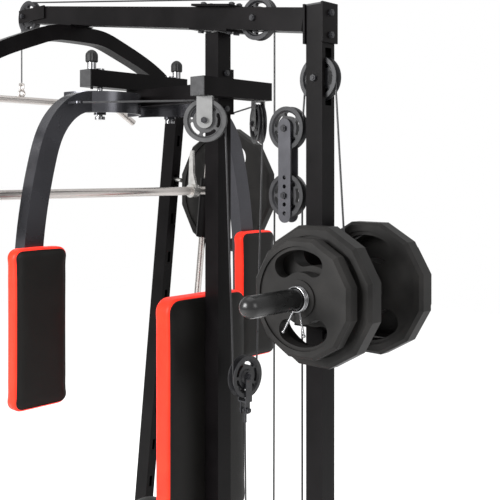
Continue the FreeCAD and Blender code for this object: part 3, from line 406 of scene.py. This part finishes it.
def puff(item, give):
    """Blows the cover up like foam in a tight skin, and moves no point by more than `give`."""
    cloth = item.modifiers.new("cloth", "CLOTH")
    cloth.settings.quality = 6
    cloth.settings.use_pressure = True
    cloth.settings.uniform_pressure_force = 4.0
    cloth.settings.tension_stiffness = 12
    cloth.settings.compression_stiffness = 8
    cloth.settings.bending_stiffness = 0.8
    cloth.settings.effector_weights.gravity = 0.0
    scene = bpy.context.scene
    before = [vertex.co.copy() for vertex in item.data.vertices]
    for step in range(1, CLOTH_STEPS + 1):
        scene.frame_set(step)
    puffed = item.evaluated_get(bpy.context.evaluated_depsgraph_get())
    after = [vertex.co.copy() for vertex in puffed.data.vertices]
    item.modifiers.remove(cloth)
    for vertex, start, end in zip(item.data.vertices, before, after):
        move = end - start
        vertex.co = start + (move if move.length < give else move.normalized() * give)
    scene.frame_set(1)


def fit_to(item, half_sizes):
    """Scales a mesh centred on the origin so that it fills the given half sizes."""
    for axis, half in enumerate(half_sizes):
        widest = max(abs(vertex.co[axis]) for vertex in item.data.vertices)
        for vertex in item.data.vertices:
            vertex.co[axis] *= half / widest


def make_pad(name, node, thin_axis, body, corner=CORNER_R):
    """An upholstered pad: puffed vinyl faces, a coloured side band and a welt along each seam."""
    low, high = box_of(node)
    size = high - low
    if thin_axis == "y":
        half_w, half_h, thick = size.x / 2, size.z / 2, size.y
        turn = Matrix.Identity(4)
    else:
        half_w, half_h, thick = size.x / 2, size.y / 2, size.z
        turn = Matrix.Rotation(math.radians(-90), 4, "X")
    pad, seam_rows = pad_shape(name, half_w, half_h, thick, corner)
    puff(pad, PAD_GIVE)
    fit_to(pad, (half_w, thick / 2, half_h))
    seam_lines = [[pad.data.vertices[index].co.copy() for index in row] for row in seam_rows]
    use_modifier(pad, "SUBSURF", levels=1)
    for face in pad.data.polygons:
        face.use_smooth = True
    seams = []
    for word, points in zip(("front", "back"), seam_lines):
        laid = [pad.closest_point_on_mesh(point)[1] for point in points]
        seams.append(add_tube(f"{name}_seam_{word}", laid, SEAM_R, "black_vinyl", closed=True))
    placed = Matrix.Translation((low + high) / 2) @ turn
    for item in [pad, *seams]:
        item.data.transform(placed)
        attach(item, body)
    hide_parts(node)


# ---------------------------------------------------------------- cables in the pulley grooves
GROOVE_R = 0.046          # centre line of a cable in the groove of a small pulley
SWIVEL_GROOVE_R = 0.053
LEAD_CABLE_X = 0.05       # the lead cables lie further out than this, the other fixed cables don't


def arc_points(centre, radius, across, start, end, steps=20):
    """Points on an arc in the plane of `across` (a level direction) and the vertical, in degrees."""
    points = []
    for step in range(steps + 1):
        turn = math.radians(start + (end - start) * step / steps)
        points.append(centre + across * (radius * math.cos(turn)) + Vector((0, 0, radius * math.sin(turn))))
    return points


def add_wraps():
    """The cables' turns around the pulleys that move."""
    rearward, sideways = Vector((0, 1, 0)), Vector((1, 0, 0))
    wraps = (("block_pulley_upper", "floating_block", rearward, 180, 360),
             ("block_pulley_lower", "floating_block", rearward, 0, 180),
             ("pec_float_pulley", "pec_float", sideways, 180, 360))
    for node, body, across, start, end in wraps:
        points = arc_points(middle_of(node), GROOVE_R, across, start, end)
        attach(add_tube(f"{node}_cable", points, CABLE_R, "cable"), body)
    for word in ("left", "right"):
        axis = Vector(JOINTS[f"swivel_pulley_{word}_spin"]["axis"])
        backward = Vector((-axis.y, axis.x, 0)) * (1 if axis.x > 0 else -1)
        points = arc_points(middle_of(f"swivel_pulley_{word}"), SWIVEL_GROOVE_R, backward, 0, 90)
        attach(add_tube(f"swivel_{word}_cable", points, CABLE_R, "cable"), f"swivel_{word}")


def side_of(x):
    """Which lead cable a point of the fixed cables belongs to: 1 left, -1 right, 0 neither."""
    return 0 if abs(x) < LEAD_CABLE_X else math.copysign(1, x)


def split_fixed_cables():
    """The two lead cables, which run to the pec arms, part from the other fixed cables and stay unattached."""
    whole = frame["nodes"]["fixed_cables"]
    for name, side, arm in (("cable_runs", 0, None), ("lead_cable_left", 1, "pec_arm_left"),
                            ("lead_cable_right", -1, "pec_arm_right")):
        made = bmesh.new()
        made.from_mesh(whole.data)
        strangers = [vert for vert in made.verts if side_of(vert.co.x) != side]
        bmesh.ops.delete(made, geom=strangers, context="VERTS")
        piece = add_mesh(name, made, "cable")
        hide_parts("fixed_cables")
        if arm is None:
            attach(piece, "frame")
            continue
        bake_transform(piece)


# ---------------------------------------------------------------- ribbed knobs of the pull pins
# Radius and height of the knob's outline, from its foot to its crown.
KNOB_OUTLINE = ((0.0060, 0.000), (0.0155, 0.001), (0.0173, 0.004), (0.0173, 0.021), (0.0165, 0.026),
                (0.0139, 0.031), (0.0105, 0.0345), (0.0056, 0.0372), (0.0020, 0.0382))
KNOB_POINTS = 48          # around the knob, four to a rib
KNOB_DROP = 0.0375        # from the pin's top down to the knob's foot
RIB_SHARE = 0.07          # how much a rib adds to the radius
RIB_BOTTOM, RIB_TOP = 0.003, 0.03


def add_knob(word):
    """A knob with a domed top that covers the plain one of the pin."""
    low, high = box_of(f"pull_pin_{word}")
    middle = (low + high) / 2
    made = bmesh.new()
    rings = []
    for plain, height in KNOB_OUTLINE:
        ring = []
        for index in range(KNOB_POINTS):
            ribbed = index % 4 < 2 and RIB_BOTTOM < height < RIB_TOP
            radius = plain * (1.0 + (RIB_SHARE if ribbed else 0.0))
            turn = 2 * math.pi * index / KNOB_POINTS
            ring.append(made.verts.new((radius * math.cos(turn), radius * math.sin(turn), height)))
        rings.append(ring)
    for lower, upper in zip(rings, rings[1:]):
        for index in range(KNOB_POINTS):
            after = (index + 1) % KNOB_POINTS
            made.faces.new((lower[index], lower[after], upper[after], upper[index]))
    made.faces.new(rings[-1])
    made.faces.new(list(reversed(rings[0])))
    knob = add_mesh(f"pull_knob_{word}", made, "black_plastic", smooth=False)
    use_modifier(knob, "BEVEL", width=0.0006, segments=2, limit_method="ANGLE")
    knob.data.transform(Matrix.Translation((middle.x, middle.y, high.z - KNOB_DROP)))
    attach(knob, f"pull_pin_{word}")


add_camera()
add_floor()
add_light()
dress_frame()
make_pad("backrest_cushion", "backrest_pad", "y", "frame")
make_pad("seat_cushion", "seat_pad", "z", "frame")
for side_word in ("left", "right"):
    make_pad(f"forearm_cushion_{side_word}", f"pec_pad_{side_word}", "y", f"pec_arm_{side_word}",
             corner=FOREARM_CORNER_R)
    add_knob(side_word)
add_wraps()
split_fixed_cables()
